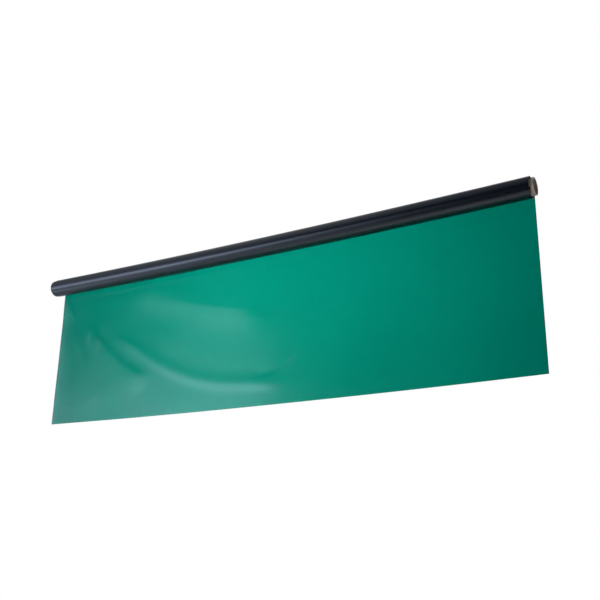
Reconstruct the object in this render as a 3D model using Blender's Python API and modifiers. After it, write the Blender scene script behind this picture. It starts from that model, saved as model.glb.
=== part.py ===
"""Roll of welding-curtain film on a paperboard core, hung up by its core.

X runs along the roll, +Y is the side on which the film hangs, +Z is up.
The origin is on the roll's axis, halfway along the film. All sizes are in metres.
"""
import math

import bpy
from mathutils import Matrix, Vector

# Driving dimensions
FILM_WIDTH = 2.030          # width that the film is made in
FILM_THICKNESS = 0.00035
FILM_DROP = 0.580           # bottom edge of the film below the roll's axis
ROLL_RADIUS = 0.035         # axis to the face of the film that hangs off the roll
RUNNING_GAP = 0.0003        # between pieces that touch

CORE_RADIUS = 0.029
CORE_WALL = 0.0035
CORE_LEFT_END = -1.020
CORE_RIGHT_END = 1.028
CORE_EDGE_BREAK = 0.0004    # small chamfer on the cut ends of the tube

OUTER_WRAPS = 0.0013        # depth of the wraps that lie true with the hanging film
TELESCOPE = 0.0135          # the next wrap has slid this far towards -X
INNER_TELESCOPE = 0.0195    # and the innermost ones this far
INNER_WRAPS_RADIUS = 0.0322  # where the slide has reached its full length
WINDING_INNER_RADIUS = CORE_RADIUS + 0.0007

LEAD_LENGTH = 0.042         # film below the axis that never leaves the roll's side
UPPER_LENGTH = 0.034        # film between the lead and the part that runs in and out

TAPE_THICKNESS = 0.00012
TAPE_LENGTH = 0.050         # along the roll
TAPE_ARC_DEG = 44.0
TAPE_ANGLE_DEG = 220.0      # from +Y over the top: the film's inner edge lies low at the front
TAPE_POSITIONS = (-0.994, -0.330, 0.330, 0.994)

ROUND_SEGMENTS = 72
NAME = "welding_curtain_roll"


def clear_scene():
    for old in list(bpy.data.objects):
        bpy.data.objects.remove(old, do_unlink=True)


def make_collection(name):
    collection = bpy.data.collections.new(name)
    bpy.context.scene.collection.children.link(collection)
    return collection


def make_material(name, colour, roughness, metallic=0.0):
    material = bpy.data.materials.new(name)
    material.use_nodes = True
    shader = material.node_tree.nodes["Principled BSDF"]
    shader.inputs["Base Color"].default_value = (*colour, 1.0)
    shader.inputs["Roughness"].default_value = roughness
    shader.inputs["Metallic"].default_value = metallic
    material.diffuse_color = (*colour, 1.0)
    return material


def add_object(name, mesh, collection, material):
    piece = bpy.data.objects.new(name, mesh)
    collection.objects.link(piece)
    mesh.materials.append(material)
    return piece


def turned_piece(name, profile, collection, material):
    """A closed (x, radius) outline, turned about the roll's axis."""
    mesh = bpy.data.meshes.new(name)
    points = [(radius, 0.0, along) for along, radius in profile]
    edges = [(i, (i + 1) % len(points)) for i in range(len(points))]
    mesh.from_pydata(points, edges, [])
    piece = add_object(name, mesh, collection, material)
    screw = piece.modifiers.new("Turn", "SCREW")
    screw.axis = "Z"
    screw.steps = screw.render_steps = ROUND_SEGMENTS
    screw.use_merge_vertices = True
    screw.merge_threshold = 0.00001
    # The outline is drawn round Z; the quarter turn lays that axis along X.
    piece.rotation_euler = (0.0, math.radians(90.0), 0.0)
    return piece


def core_tube(collection, material):
    """Open paperboard tube with lightly broken edges."""
    inner = CORE_RADIUS - CORE_WALL
    c = CORE_EDGE_BREAK
    profile = [
        (CORE_RIGHT_END - c, CORE_RADIUS),
        (CORE_LEFT_END + c, CORE_RADIUS),
        (CORE_LEFT_END, CORE_RADIUS - c),
        (CORE_LEFT_END, inner + c),
        (CORE_LEFT_END + c, inner),
        (CORE_RIGHT_END - c, inner),
        (CORE_RIGHT_END, inner + c),
        (CORE_RIGHT_END, CORE_RADIUS - c),
    ]
    return turned_piece("core_tube", profile, collection, material)


def film_winding(collection, material):
    """The wound film: outer wraps in line with the curtain, inner wraps slid along the core."""
    half = FILM_WIDTH / 2
    outer = ROLL_RADIUS - RUNNING_GAP
    inner_wraps = outer - OUTER_WRAPS
    profile = [
        (half, outer),
        (-half, outer),
        (-half, inner_wraps),
        (-half - TELESCOPE, inner_wraps),
        (-half - INNER_TELESCOPE, INNER_WRAPS_RADIUS),
        (-half - INNER_TELESCOPE, WINDING_INNER_RADIUS),
        (half - INNER_TELESCOPE, WINDING_INNER_RADIUS),
        (half - INNER_TELESCOPE, INNER_WRAPS_RADIUS),
        (half - TELESCOPE, inner_wraps),
        (half, inner_wraps),
    ]
    return turned_piece("film_winding", profile, collection, material)


def film_strip(name, top, bottom, collection, material):
    """A flat stretch of the hanging film between two heights below the axis."""
    bpy.ops.mesh.primitive_cube_add(size=1.0)
    strip = bpy.context.object
    strip.name = strip.data.name = name
    height = top - bottom
    strip.data.transform(Matrix.Diagonal((FILM_WIDTH, FILM_THICKNESS, height, 1.0)))
    strip.location = (0.0, ROLL_RADIUS + FILM_THICKNESS / 2, (top + bottom) / 2)
    for other in list(strip.users_collection):
        other.objects.unlink(strip)
    collection.objects.link(strip)
    strip.data.materials.append(material)
    return strip


def starter_tapes(collection, material):
    """Short strips of tape on the core, across the film's inner edge, all from one curved pad."""
    steps = 8
    radius = CORE_RADIUS + (WINDING_INNER_RADIUS - CORE_RADIUS - TAPE_THICKNESS) / 2
    points, faces = [], []
    for step in range(steps + 1):
        angle = math.radians(TAPE_ANGLE_DEG + TAPE_ARC_DEG * (step / steps - 0.5))
        y, z = radius * math.cos(angle), radius * math.sin(angle)
        points += [(-TAPE_LENGTH / 2, y, z), (TAPE_LENGTH / 2, y, z)]
    for step in range(steps):
        a = 2 * step
        faces.append((a, a + 1, a + 3, a + 2))
    mesh = bpy.data.meshes.new("starter_tape")
    mesh.from_pydata(points, [], faces)
    mesh.materials.append(material)
    strips = []
    for number, place in enumerate(TAPE_POSITIONS, start=1):
        strip = bpy.data.objects.new(f"starter_tape_{number}", mesh)
        strip.location.x = place
        collection.objects.link(strip)
        pad = strip.modifiers.new("Thickness", "SOLIDIFY")
        pad.thickness = TAPE_THICKNESS
        pad.offset = 1.0
        strips.append(strip)
    return strips


def joint_empty(name, place, collection):
    """An empty on a joint's axis, which the moving pieces hang from."""
    empty = bpy.data.objects.new(name, None)
    empty.empty_display_size = 0.05
    empty.location = place
    collection.objects.link(empty)
    return empty


def hang_from(piece, empty):
    """Parents a piece to an empty and keeps it where it is."""
    piece.parent = empty
    piece.matrix_parent_inverse = Matrix.Translation(-Vector(empty.location))


clear_scene()
parts = make_collection(NAME)

card = make_material("core_card", (0.42, 0.36, 0.29), 0.85)
wound_film = make_material("film_wound_dark", (0.004, 0.012, 0.018), 0.18)
hung_film = make_material("film_green", (0.0, 0.272, 0.181), 0.22)
tape = make_material("brown_tape", (0.28, 0.14, 0.05), 0.35)

core = core_tube(parts, card)
winding = film_winding(parts, wound_film)
tapes = starter_tapes(parts, tape)

lead_bottom = -LEAD_LENGTH
upper_top = lead_bottom - RUNNING_GAP
upper_bottom = upper_top - UPPER_LENGTH
lead = film_strip("film_lead", 0.0, lead_bottom, parts, hung_film)
upper = film_strip("film_upper", upper_top, upper_bottom, parts, hung_film)
curtain = film_strip("film_curtain", upper_bottom - RUNNING_GAP, -FILM_DROP, parts, hung_film)

roll_axis = joint_empty("roll_axis", (0.0, 0.0, 0.0), parts)
swing_axis = joint_empty(
    "swing_axis", (0.0, ROLL_RADIUS + FILM_THICKNESS / 2, lead_bottom), parts)
feed_line = joint_empty(
    "feed_line", (0.0, ROLL_RADIUS + FILM_THICKNESS / 2, upper_bottom), parts)
for piece in (core, winding, *tapes):
    hang_from(piece, roll_axis)
hang_from(upper, swing_axis)
hang_from(curtain, feed_line)

for piece in (core, winding):
    piece.data.shade_smooth()
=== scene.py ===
import math

import bmesh
import bpy
import numpy as np
from mathutils import Euler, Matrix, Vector, noise


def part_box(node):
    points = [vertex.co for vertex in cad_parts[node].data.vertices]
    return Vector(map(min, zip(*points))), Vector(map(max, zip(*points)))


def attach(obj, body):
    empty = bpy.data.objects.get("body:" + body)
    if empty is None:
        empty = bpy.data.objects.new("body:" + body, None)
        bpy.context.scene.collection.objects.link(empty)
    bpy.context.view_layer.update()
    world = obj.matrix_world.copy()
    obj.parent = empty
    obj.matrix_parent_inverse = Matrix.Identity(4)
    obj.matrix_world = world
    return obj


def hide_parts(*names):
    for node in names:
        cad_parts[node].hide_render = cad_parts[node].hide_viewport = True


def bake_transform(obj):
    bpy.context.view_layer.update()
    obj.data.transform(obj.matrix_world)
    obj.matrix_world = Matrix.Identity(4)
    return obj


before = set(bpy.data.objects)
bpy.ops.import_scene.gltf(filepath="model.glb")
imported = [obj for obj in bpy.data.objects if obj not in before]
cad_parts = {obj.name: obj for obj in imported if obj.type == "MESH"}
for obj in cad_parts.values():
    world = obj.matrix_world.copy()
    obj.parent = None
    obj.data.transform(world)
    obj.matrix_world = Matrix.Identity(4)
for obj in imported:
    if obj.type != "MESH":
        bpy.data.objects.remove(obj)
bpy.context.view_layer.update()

# The view is from low at the front right, looking up at the roll, with the open end of the tube
# nearest.
camera_data = bpy.data.cameras.new("camera")
camera_data.sensor_width = 36.0
camera_data.lens = 49.06
camera = bpy.data.objects.new("camera", camera_data)
camera.location = (1.5864, -2.3157, -1.1272)
turn_left, look_up, tip = 31.076, 18.198, 0.968
camera.rotation_euler = (
    Euler((0, 0, math.radians(turn_left))).to_matrix()
    @ Euler((math.radians(90 + look_up), 0, 0)).to_matrix()
    @ Euler((0, 0, math.radians(tip))).to_matrix()
).to_euler()
bpy.context.scene.collection.objects.link(camera)
bpy.context.scene.camera = camera
bpy.context.scene.view_settings.view_transform = "Standard"


# Core tube. A paperboard tube, 58 mm outside and 51 mm inside, wound from glued strips on a slant
# and cut square at both ends. Held only at its ends, it bends by 9.5 mm under the film's weight.
board_left, board_right = (corner[0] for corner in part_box("core_tube"))
board_outer = round(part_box("core_tube")[1][2], 4)
board_wall = 0.0035
board_inner = board_outer - board_wall
sag_at_middle = 0.0095
film_half = round(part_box("film_lead")[1][0], 4)    # half of the film's width


def sag(x):
    """How far the loaded tube, and the film with it, hangs below a line between its ends."""
    return sag_at_middle * (1.0 - min(1.0, abs(x) / film_half) ** 2)


def mesh_piece(name, points, faces):
    """A smooth-shaded object with sharp edges where its faces meet at more than 35 degrees."""
    mesh = bpy.data.meshes.new(name)
    mesh.from_pydata(points, [], faces)
    mesh.validate()
    mesh.update()
    mesh.shade_smooth()
    mesh.set_sharp_from_angle(angle=math.radians(35))
    piece = bpy.data.objects.new(name, mesh)
    bpy.context.scene.collection.objects.link(piece)
    return piece


def ring_skin(rings):
    """Faces round a closed run of rings, each with the same count of points."""
    count, around = len(rings), len(rings[0])
    return [
        (rings[i][j], rings[i][(j + 1) % around],
         rings[(i + 1) % count][(j + 1) % around], rings[(i + 1) % count][j])
        for i in range(count) for j in range(around)
    ]


around = 96
edge = 0.0005          # worn rounding of the cut ends
fray_depth = 0.00012   # unevenness of the paper
steps = np.linspace(board_left + 2 * edge, board_right - 2 * edge, 44)
outline = [(board_left, board_outer - edge), (board_left + edge, board_outer)]
outline += [(x, board_outer) for x in steps]
outline += [(board_right - edge, board_outer), (board_right, board_outer - edge)]
outline += [(board_right, board_inner + edge), (board_right - edge, board_inner)]
outline += [(x, board_inner) for x in steps[::-1]]
outline += [(board_left + edge, board_inner), (board_left, board_inner + edge)]
points, rings = [], []
for x, radius in outline:
    rings.append(range(len(points), len(points) + around))
    for j in range(around):
        angle = 2 * math.pi * j / around
        across, up = math.cos(angle), math.sin(angle)
        frayed = radius + fray_depth * noise.noise(Vector((x * 300, across * 9, up * 9)))
        points.append((x, frayed * across, frayed * up - sag(x)))
core = mesh_piece("core_board", points, ring_skin(rings))


def material(name):
    """A new material, with its node tree, its Principled shader and its output."""
    made = bpy.data.materials.new(name)
    made.use_nodes = True
    tree = made.node_tree
    return made, tree, tree.nodes["Principled BSDF"], tree.nodes["Material Output"]


def node(tree, kind, settings=None, **inputs):
    """A node with settings, and inputs given as values or as sockets. An input is called by its
    name, with _ for a space, or by its number, as i0."""
    made = tree.nodes.new("ShaderNode" + kind)
    for key, value in (settings or {}).items():
        setattr(made, key, value)
    for key, value in inputs.items():
        socket = made.inputs[int(key[1:]) if key[1:].isdigit() else key.replace("_", " ")]
        if isinstance(value, bpy.types.NodeSocket):
            tree.links.new(value, socket)
        else:
            socket.default_value = value
    return made


def maths(tree, operation, a, b=0.0):
    return node(tree, "Math", {"operation": operation}, i0=a, i1=b).outputs[0]


def scaled(tree, value, low, high, to_low=0.0, to_high=1.0, smooth=False):
    """A value carried from one range into another, and kept inside it."""
    kind = "SMOOTHSTEP" if smooth else "LINEAR"
    return node(tree, "MapRange", {"interpolation_type": kind}, Value=value,
                i1=low, i2=high, i3=to_low, i4=to_high).outputs[0]


def ramp(tree, factor, *stops):
    """A colour ramp through (position, colour) stops."""
    made = node(tree, "ValToRGB", Fac=factor)
    elements = made.color_ramp.elements
    while len(elements) < len(stops):
        elements.new(0.5)
    for element, (position, colour) in zip(elements, stops):
        element.position, element.color = position, (*colour, 1.0)
    return made.outputs[0]


board, tree, shader, _ = material("paperboard")
place = node(tree, "TexCoord").outputs["Object"]
split = node(tree, "SeparateXYZ", Vector=place).outputs
angle = maths(tree, "ARCTAN2", split[2], split[1])
strip_pitch = 0.105
slant = maths(tree, "ADD", maths(tree, "MULTIPLY", split[0], 1 / strip_pitch),
              maths(tree, "MULTIPLY", angle, 1 / (2 * math.pi)))
seam = maths(tree, "LESS_THAN", maths(tree, "ABSOLUTE",
             maths(tree, "SUBTRACT", maths(tree, "FRACT", slant), 0.5)), 0.006)
fibre = node(tree, "TexNoise", Vector=place, Scale=900.0, Detail=6.0, Roughness=0.7).outputs[0]
cloudy = node(tree, "TexNoise", Vector=place, Scale=38.0, Detail=3.0).outputs[0]
radial = node(tree, "VectorMath", {"operation": "LENGTH"}, i0=node(
    tree, "CombineXYZ", Y=split[1], Z=split[2]).outputs[0]).outputs["Value"]
plies = node(tree, "TexNoise", {"noise_dimensions": "1D"},
             W=radial, Scale=2600.0, Detail=1.0).outputs[0]
tone = maths(tree, "ADD", maths(tree, "MULTIPLY", cloudy, 0.3),
             maths(tree, "MULTIPLY", plies, 0.2))
tone = maths(tree, "ADD", maths(tree, "MULTIPLY", fibre, 0.5), tone)
colour = ramp(tree, tone, (0.30, (0.305, 0.250, 0.180)), (0.52, (0.440, 0.365, 0.268)),
              (0.72, (0.570, 0.485, 0.365)))
colour = node(tree, "MixRGB", Fac=maths(tree, "MULTIPLY", seam, 0.55), Color1=colour,
              Color2=(0.160, 0.120, 0.085, 1.0)).outputs[0]
tree.links.new(colour, shader.inputs["Base Color"])
shader.inputs["Roughness"].default_value = 0.88
height = maths(tree, "SUBTRACT", maths(tree, "MULTIPLY", fibre, 0.6), seam)
bump = node(tree, "Bump", Height=height, Strength=0.35, Distance=0.0004)
tree.links.new(bump.outputs[0], shader.inputs["Normal"])
core.data.materials.append(board)
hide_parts("core_tube")
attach(core, "roll")


# Starter tape. Short strips of brown parcel tape across the inner edge of the film, stuck to the
# tube. They are hidden under the laps, apart from the end of one that shows beside the film at the
# open end.
parcel_tape, tree, shader, _ = material("parcel_tape")
place = node(tree, "TexCoord").outputs["Object"]
stretched = node(tree, "Mapping", Vector=place, Scale=(40.0, 900.0, 900.0)).outputs[0]
streaks = node(tree, "TexNoise", Vector=stretched, Scale=1.0, Detail=3.0).outputs[0]
colour = ramp(tree, streaks, (0.35, (0.110, 0.042, 0.012)), (0.65, (0.185, 0.080, 0.024)))
tree.links.new(colour, shader.inputs["Base Color"])
shader.inputs["Roughness"].default_value = 0.30
shader.inputs["Coat Weight"].default_value = 0.4
tape_inner = board_outer + 0.00005
tape_outer = tape_inner + 0.00015
tape_lengthwise = 5
tape_arc = [math.radians(220 + step) for step in range(-22, 23, 4)]
for number in range(1, 5):
    low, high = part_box(f"starter_tape_{number}")
    points, faces = [], []
    for i in range(tape_lengthwise + 1):
        x = low.x + (high.x - low.x) * i / tape_lengthwise
        for angle in tape_arc:
            for radius in (tape_inner, tape_outer):
                points.append((x, radius * math.cos(angle), radius * math.sin(angle) - sag(x)))
    wide = 2 * len(tape_arc)
    for i in range(tape_lengthwise):
        for j in range(0, wide - 2, 2):
            a = i * wide + j
            faces.append((a, a + wide, a + wide + 2, a + 2))
            faces.append((a + 1, a + 3, a + wide + 3, a + wide + 1))
        for a in (i * wide, i * wide + wide - 2):
            faces.append((a, a + 1, a + wide + 1, a + wide))
    for a in (0, tape_lengthwise * wide):
        faces += [(a + j, a + j + 1, a + j + 3, a + j + 2) for j in range(0, wide - 2, 2)]
    strip = mesh_piece(f"tape_strip_{number}", points, faces)
    solid = bmesh.new()
    solid.from_mesh(strip.data)
    bmesh.ops.recalc_face_normals(solid, faces=solid.faces)
    solid.to_mesh(strip.data)
    solid.free()
    strip.data.materials.append(parcel_tape)
    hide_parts(f"starter_tape_{number}")
    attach(strip, "roll")


# Wound film. Fourteen and a half laps of the film, each on the last, wound under tension so that
# they look like one dark glossy bar. The outer laps lie true with the curtain; the inner ones have
# slipped along the tube.
film_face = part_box("film_lead")[0][1]
film_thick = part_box("film_lead")[1][1] - film_face
lap_pitch = 0.00038    # a little over the film's thickness, so that the laps lie clear
laps = 14.61
true_laps = 3.45       # outer laps that lie true
slip = -film_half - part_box("film_winding")[0][0]
first_share = 0.69     # part of the slip that comes in one step, under the true laps


def ease(value, low, high):
    """0 below low, 1 above high, and smooth between them."""
    t = min(1.0, max(0.0, (value - low) / (high - low)))
    return t * t * (3 - 2 * t)


def wound(name, first, last, columns):
    """The film between two laps, counted inwards from the line where it leaves the roll."""
    per_lap = 80
    count = round((last - first) * per_lap) + 1
    points, faces = [], []
    for i in range(count):
        lap = first + (last - first) * i / (count - 1)
        angle = 2 * math.pi * lap
        wander = 0.0006 * noise.noise(Vector((lap * 1.3, 4.0, 0.0)))
        shift = slip * (first_share * ease(lap, true_laps, true_laps + 0.5)
                        + (1.0 - first_share) * ease(lap, 4.0, 7.5))
        shift += wander * ease(lap, 0.0, 1.0)
        for k in range(columns):
            x = -film_half + 2 * film_half * k / (columns - 1)
            around = Vector((x * 0.9, 3.2 * math.cos(angle), 3.2 * math.sin(angle)))
            ripple = 0.00011 * noise.noise(around * 1.7) + 0.00003 * noise.noise(
                Vector((x * 1.5, 11 * math.cos(angle), 11 * math.sin(angle))))
            ripple *= ease(lap, 0.0, 0.15) * (1.0 - ease(lap, 1.0, 2.0))
            outside = film_face + film_thick - lap_pitch * lap + ripple
            for radius in (outside, outside - 0.97 * film_thick):
                y, z = radius * math.cos(angle), radius * math.sin(angle)
                points.append((x - shift, y, z - sag(x)))
    across = 2 * columns
    for i in range(count - 1):
        for k in range(columns - 1):
            a = i * across + 2 * k
            faces.append((a, a + across, a + across + 2, a + 2))
            faces.append((a + 1, a + 3, a + across + 3, a + across + 1))
        for a, flip in ((i * across, False), (i * across + across - 2, True)):
            rim = (a, a + 1, a + across + 1, a + across)
            faces.append(rim[::-1] if flip else rim)
    for a, flip in ((0, False), ((count - 1) * across, True)):
        for k in range(columns - 1):
            rim = (a + 2 * k, a + 2 * k + 2, a + 2 * k + 3, a + 2 * k + 1)
            faces.append(rim[::-1] if flip else rim)
    return mesh_piece(name, points, faces)


dark_film, tree, shader, _ = material("film_wound_dark")
place = node(tree, "TexCoord").outputs["Object"]
stretched = node(tree, "Mapping", Vector=place, Scale=(1.2, 160.0, 160.0)).outputs[0]
long_streaks = node(tree, "TexNoise", Vector=stretched, Scale=1.0, Detail=4.0).outputs[0]
blotches = node(tree, "TexNoise", Vector=place, Scale=7.0, Detail=2.0).outputs[0]
colour = ramp(tree, blotches, (0.35, (0.0004, 0.0014, 0.0040)), (0.70, (0.0008, 0.0026, 0.0060)))
tree.links.new(colour, shader.inputs["Base Color"])
rough = scaled(tree, long_streaks, 0.3, 0.7, 0.30, 0.37)
tree.links.new(rough, shader.inputs["Roughness"])
shader.inputs["IOR"].default_value = 1.52
bump = node(tree, "Bump", Height=long_streaks, Strength=0.25, Distance=0.0004)
tree.links.new(bump.outputs[0], shader.inputs["Normal"])

outer_laps = wound("wound_film_outer_laps", 0.0, 2.0, 60)
inner_laps = wound("wound_film_inner_laps", 2.0, laps, 14)
for piece in (outer_laps, inner_laps):
    piece.data.materials.append(dark_film)
    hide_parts("film_winding")
    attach(piece, "roll")


# Hanging film. The free end of the same film: dark-green translucent vinyl, 0.35 mm thick, cut
# square. It leaves the roll at the back and hangs straight down, with shallow swags and creases
# where it was pulled by one corner.
drop = -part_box("film_curtain")[0][2]
join = -0.064    # height where the two modelled lengths of the film meet


def smooth_route(route):
    """The given points of a crease with their corners cut four times."""
    line = np.array(route, float)
    for _ in range(4):
        a, b = line[:-1], line[1:]
        cut = np.stack([0.75 * a + 0.25 * b, 0.25 * a + 0.75 * b], 1).reshape(-1, 2)
        line = np.vstack([line[:1], cut, line[-1:]])
    return line


def crease(spots, route, above, below, depth, fade=0.18):
    """A rounded ridge along a route of (x, z) points set from left to right. It has its own width
    above the crest and below it, and dies out over the fade share of its length at each end."""
    line = smooth_route(route)
    best = np.full(len(spots), 1e9)
    where = np.zeros(len(spots))
    width = np.full(len(spots), below)
    lengths = np.linalg.norm(np.diff(line, axis=0), axis=1)
    total, run = lengths.sum(), 0.0
    for a, b, length in zip(line[:-1], line[1:], lengths):
        t = np.clip((spots - a) @ (b - a) / length**2, 0, 1)
        gap = spots - a - t[:, None] * (b - a)
        away = np.linalg.norm(gap, axis=1)
        nearer = away < best
        side = (b - a)[0] * gap[:, 1] - (b - a)[1] * gap[:, 0]
        best[nearer] = away[nearer]
        where[nearer] = (run + t[nearer] * length) / total
        width[nearer] = np.where(side[nearer] > 0, above, below)
        run += length
    ends = np.clip(np.minimum(where, 1 - where) / fade, 0, 1)
    return depth * np.exp(-(best / width) ** 2 / 2) * ends * ends * (3 - 2 * ends)


def bulge(spots):
    """How far the film stands out from the flat, towards the front, at (x, z) points at rest."""
    x, z = spots[:, 0], spots[:, 1]
    out = 0.0005 * np.sin(2.1 * x + 0.8) * (z / drop) ** 2
    out += 0.0006 * np.sin(5.3 * x - 0.6 + 2.0 * z) * (z / drop)
    # the slight unevenness of film that has been handled, on the left
    uneven = np.array([noise.noise(Vector((5.0 * a, 3.0, 8.0 * b))) for a, b in spots])
    out += 0.0009 * uneven * np.clip((0.05 - x) / 0.35, 0, 1)
    # the long swag from the left down to the middle, and the two that run beside it
    out += crease(spots, [(-0.700, -0.225), (-0.610, -0.290), (-0.473, -0.375), (-0.340, -0.437),
                          (-0.190, -0.481), (-0.010, -0.498), (0.170, -0.506)],
                  0.020, 0.017, 0.0020)
    out += crease(spots, [(-0.720, -0.222), (-0.640, -0.268), (-0.540, -0.322)],
                  0.006, 0.012, 0.0006, 0.4)
    out += crease(spots, [(-0.880, -0.172), (-0.838, -0.206), (-0.790, -0.250), (-0.710, -0.325),
                          (-0.620, -0.388), (-0.500, -0.445)], 0.015, 0.045, 0.0021)
    out += crease(spots, [(-0.905, -0.240), (-0.860, -0.320), (-0.820, -0.410), (-0.785, -0.530)],
                  0.020, 0.020, 0.0009)
    # the broad hump above them, with a soft upper edge that falls to the right
    out += crease(spots, [(-0.720, -0.020), (-0.500, -0.066), (-0.390, -0.118), (-0.216, -0.168),
                          (-0.090, -0.198), (0.090, -0.244)], 0.085, 0.056, 0.0067, 0.25)
    out += crease(spots, [(-0.440, -0.122), (-0.300, -0.158), (-0.150, -0.194), (0.060, -0.242)],
                  0.006, 0.012, 0.0005, 0.3)
    out += crease(spots, [(-0.080, -0.243), (-0.010, -0.252), (0.060, -0.260)],
                  0.005, 0.008, 0.0004, 0.3)
    out += crease(spots, [(-0.860, -0.225), (-0.760, -0.250)], 0.060, 0.060, 0.0012, 0.4)
    # where the swag ends, right of the middle
    out -= crease(spots, [(-0.040, -0.478), (0.060, -0.462), (0.130, -0.430), (0.165, -0.395)],
                  0.014, 0.009, 0.0011, 0.3)
    # the pulled corner at the top left, and the side edge curling back
    out += crease(spots, [(-1.010, -0.005), (-0.972, -0.075), (-0.925, -0.160)],
                  0.005, 0.030, 0.0013, 0.35)
    lean = np.clip((-z - 0.03) / 0.13, 0, 1)
    out -= 0.0018 * lean * lean * (3 - 2 * lean) * np.exp(-((x + 1.02) / 0.045) ** 2 / 2)
    out -= 1.1 * np.clip(-0.980 - x, 0, 1) ** 2
    near_roll = np.clip(-z / 0.05, 0, 1)
    return out * near_roll * near_roll * (3 - 2 * near_roll)


def hanging(name, top, bottom, rows):
    """A stretch of the hanging film between two heights, with its true thickness."""
    columns = 291
    across = np.linspace(-film_half, film_half, columns)
    down = np.linspace(top, bottom, rows)
    grid = np.array([(x, z) for z in down for x in across])
    front = film_face - bulge(grid)
    low = grid[:, 1] - np.array([sag(x) for x in grid[:, 0]])
    points = [(x, y, z) for x, y, z in zip(grid[:, 0], front, low)]
    points += [(x, y + film_thick, z) for x, y, z in zip(grid[:, 0], front, low)]
    back = len(grid)
    faces = []
    for r in range(rows - 1):
        for c in range(columns - 1):
            a = r * columns + c
            faces.append((a, a + columns, a + columns + 1, a + 1))
            faces.append((back + a, back + a + 1, back + a + columns + 1, back + a + columns))
    rim = list(range(columns))
    rim += [r * columns + columns - 1 for r in range(1, rows)]
    rim += [(rows - 1) * columns + c for c in range(columns - 2, -1, -1)]
    rim += [r * columns for r in range(rows - 2, 0, -1)]
    for a, b in zip(rim, rim[1:] + rim[:1]):
        faces.append((a, b, back + b, back + a))
    return mesh_piece(name, points, faces)


green_film, tree, shader, output = material("film_green")
place = node(tree, "TexCoord").outputs["Object"]
split = node(tree, "SeparateXYZ", Vector=place).outputs
clouds = node(tree, "TexNoise", Vector=place, Scale=2.6, Detail=3.0).outputs[0]
stretched = node(tree, "Mapping", Vector=place, Scale=(3.0, 1.0, 140.0)).outputs[0]
drawn = node(tree, "TexNoise", Vector=stretched, Scale=1.0, Detail=3.0).outputs[0]
tone = maths(tree, "ADD", maths(tree, "MULTIPLY", clouds, 0.75),
             maths(tree, "MULTIPLY", drawn, 0.25))
colour = ramp(tree, tone, (0.25, (0.0, 0.090, 0.060)), (0.75, (0.0, 0.110, 0.073)))
# Painted shade: the film's colour is darkened toward its cut side edges, from 55 % at the edge up to
# full within 3 mm of it.
from_edge = maths(tree, "SUBTRACT", film_half, maths(tree, "ABSOLUTE", split[0]))
edge_painted_shade = scaled(tree, from_edge, 0.0, 0.003, 0.55, 1.0)
colour = node(tree, "VectorMath", {"operation": "SCALE"}, i0=colour, Scale=edge_painted_shade).outputs[0]
tree.links.new(colour, shader.inputs["Base Color"])
rough = scaled(tree, clouds, 0.3, 0.7, 0.13, 0.19)
tree.links.new(rough, shader.inputs["Roughness"])
shader.inputs["IOR"].default_value = 1.52
skin = node(tree, "TexNoise", Vector=place, Scale=220.0, Detail=2.0).outputs[0]
height = maths(tree, "ADD", maths(tree, "MULTIPLY", skin, 0.25), drawn)
bump = node(tree, "Bump", Height=height, Strength=0.20, Distance=0.0003)
tree.links.new(bump.outputs[0], shader.inputs["Normal"])
lit_through = ramp(tree, tone, (0.25, (0.0, 0.310, 0.256)), (0.75, (0.0, 0.335, 0.276)))
# The same painted shade at the side edges darkens the light the film lets through.
lit_through = node(tree, "VectorMath", {"operation": "SCALE"},
                   i0=lit_through, Scale=edge_painted_shade).outputs[0]
glow = node(tree, "BsdfTranslucent", Color=lit_through, Normal=bump.outputs[0])
both = node(tree, "MixShader", i0=0.5, i1=shader.outputs[0], i2=glow.outputs[0])
tree.links.new(both.outputs[0], output.inputs["Surface"])

film_top = hanging("film_off_the_roll", 0.0, join, 14)
film_sheet = hanging("film_free_length", join, -drop, 88)
for piece in (film_top, film_sheet):
    piece.data.materials.append(green_film)
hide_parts("film_lead", "film_upper")
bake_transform(film_top)
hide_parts("film_curtain")
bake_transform(film_sheet)


# The room. A pale round floor, a white sky that reflections find dimmer overhead, a lamp behind the
# film that shines through its middle, a dark front wall with a bluish softbox, and a low card, black
# at the right and white elsewhere. Only light and reflections find the wall and the card.
floor_level = -2.25
bpy.ops.mesh.primitive_circle_add(radius=24.0, vertices=160, fill_type="NGON",
                                  location=(0.0, 0.0, floor_level))
floor = bpy.context.object
floor.name = "floor"
pale, tree, shader, _ = material("floor_pale")
shader.inputs["Base Color"].default_value = (0.80, 0.86, 0.93, 1.0)
shader.inputs["Roughness"].default_value = 0.9
floor.data.materials.append(pale)


def window(tree, value, *edges):
    """1 between the two middle places, and smooth down to 0 at the two outer ones."""
    return maths(tree, "MULTIPLY", scaled(tree, value, edges[0], edges[1], smooth=True),
                 scaled(tree, value, edges[3], edges[2], smooth=True))


def patch(tree, across, across_edges, along, along_edges):
    """A rectangle with soft sides: 1 in it and 0 outside."""
    return maths(tree, "MULTIPLY", window(tree, across, *across_edges),
                 window(tree, along, *along_edges))


world = bpy.data.worlds.new("white_room")
world.use_nodes = True
sky = world.node_tree
towards = node(sky, "SeparateXYZ", Vector=node(sky, "TexCoord").outputs["Generated"]).outputs
upright = node(sky, "VectorMath", {"operation": "NORMALIZE"}, i0=node(
    sky, "CombineXYZ", Y=towards[1], Z=towards[2]).outputs[0]).outputs[0]
dimmer = scaled(sky, node(sky, "SeparateXYZ", Vector=upright).outputs[2], 0.80, 0.93, smooth=True)
roof_light = maths(sky, "MULTIPLY", window(sky, towards[0], -0.74, -0.56, -0.49, -0.26), 0.60)
dimmer = maths(sky, "MULTIPLY", dimmer, maths(sky, "SUBTRACT", 1.0, roof_light))
not_seen = maths(sky, "SUBTRACT", 1.0, node(sky, "LightPath").outputs["Is Camera Ray"])
dimmer = maths(sky, "MULTIPLY", dimmer, not_seen)
sky_colour = ramp(sky, dimmer, (0.0, (1.0, 1.0, 1.0)), (1.0, (0.22, 0.26, 0.33)))
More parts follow.
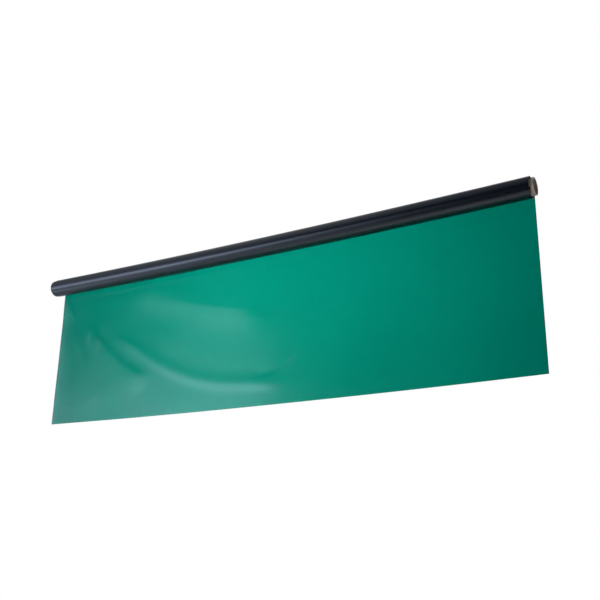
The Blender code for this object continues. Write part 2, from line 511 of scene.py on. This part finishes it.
sky.links.new(sky_colour, sky.nodes["Background"].inputs["Color"])
bpy.context.scene.world = world

lamp_data = bpy.data.lights.new("lamp_behind_film", "AREA")
lamp_data.shape, lamp_data.size, lamp_data.size_y = "RECTANGLE", 0.7, 0.7
lamp_data.energy, lamp_data.spread = 113.0, math.radians(74)
lamp = bpy.data.objects.new("lamp_behind_film", lamp_data)
lamp.location = (-0.10, 2.6, 0.1)
lamp_aim = Vector((-0.06, 0.0, -0.16))
lamp.rotation_euler = (lamp_aim - lamp.location).to_track_quat("-Z", "Y").to_euler()
lamp.visible_camera = False
bpy.context.scene.collection.objects.link(lamp)

bpy.ops.mesh.primitive_plane_add(size=1.0, location=(-0.75, -3.8, 2.5),
                                 rotation=(math.radians(90), 0, 0))
wall = bpy.context.object
wall.name = "front_wall"
wall.scale = (15.5, 9.5, 1.0)
wall.visible_camera = False
dark, tree, _, output = material("front_wall_dark")
x, _, z = node(tree, "SeparateXYZ", Vector=node(tree, "NewGeometry").outputs["Position"]).outputs
box_power, strip_power, side_power = 6.4, 6.2, 2.6
fade_up = maths(tree, "POWER", scaled(tree, z, 1.60, -0.05), 2.0)
fade_left = scaled(tree, x, -4.7, -3.8, 0.62, 1.12)
box_glow = maths(tree, "MULTIPLY", maths(tree, "MULTIPLY", fade_up, fade_left),
                 patch(tree, x, (-8.0, -6.0, -2.60, -2.30), z, (-2.2, -0.8, 1.6, 1.7)))
fade_right = maths(tree, "POWER", scaled(tree, x, -0.45, -2.65), 1.5)
strip_glow = maths(tree, "MULTIPLY", fade_right,
                   patch(tree, x, (-2.60, -2.30, 0.0, 0.1), z, (-1.0, -0.4, -0.05, 0.25)))
side_glow = patch(tree, x, (-8.5, -8.3, -6.3, -5.4), z, (-1.2, -0.8, 1.2, 2.2))
strength = maths(tree, "MULTIPLY", window(tree, z, 2.0, 2.9, 8.0, 9.0),
                 scaled(tree, x, 1.0, -3.0, 0.02, 0.85))
for glow, power in ((box_glow, box_power), (strip_glow, strip_power), (side_glow, side_power)):
    strength = maths(tree, "ADD", strength, maths(tree, "MULTIPLY", glow, power))
lit = node(tree, "Emission", Color=(0.71, 0.85, 1.15, 1.0), Strength=strength)
tree.links.new(lit.outputs[0], output.inputs["Surface"])
wall.data.materials.append(dark)

bpy.ops.mesh.primitive_plane_add(size=1.0, location=(-1.2, -1.9, floor_level + 0.05))
low_card = bpy.context.object
low_card.name = "low_card"
low_card.scale = (12.4, 3.8, 1.0)
low_card.visible_camera = low_card.visible_diffuse = False
low_card.visible_shadow = low_card.visible_transmission = False
card, tree, _, output = material("low_card_white_and_black")
x, y, _ = node(tree, "SeparateXYZ", Vector=node(tree, "NewGeometry").outputs["Position"]).outputs
black = patch(tree, x, (-1.4, -0.5, 8.0, 9.0), y, (-9.0, -8.0, -1.85, -1.20))
left = patch(tree, x, (-7.4, -6.4, -3.2, -2.3), y, (-2.3, -1.9, -0.7, -0.4))
under_roll = patch(tree, x, (-2.5, -1.6, 0.7, 1.5), y, (-1.1, -0.8, -0.2, 0.0))
left_power, under_power = 2.3, 1.3
strength = maths(tree, "ADD", maths(tree, "MULTIPLY", left, left_power),
                 maths(tree, "MULTIPLY", under_roll, under_power))
lit = node(tree, "Emission", Color=(0.80, 0.90, 1.0, 1.0), Strength=strength)
cover = maths(tree, "MAXIMUM", maths(tree, "MAXIMUM", black, left), under_roll)
faded = node(tree, "MixShader", i0=cover, i1=node(tree, "BsdfTransparent").outputs[0],
             i2=lit.outputs[0])
tree.links.new(faded.outputs[0], output.inputs["Surface"])
low_card.data.materials.append(card)
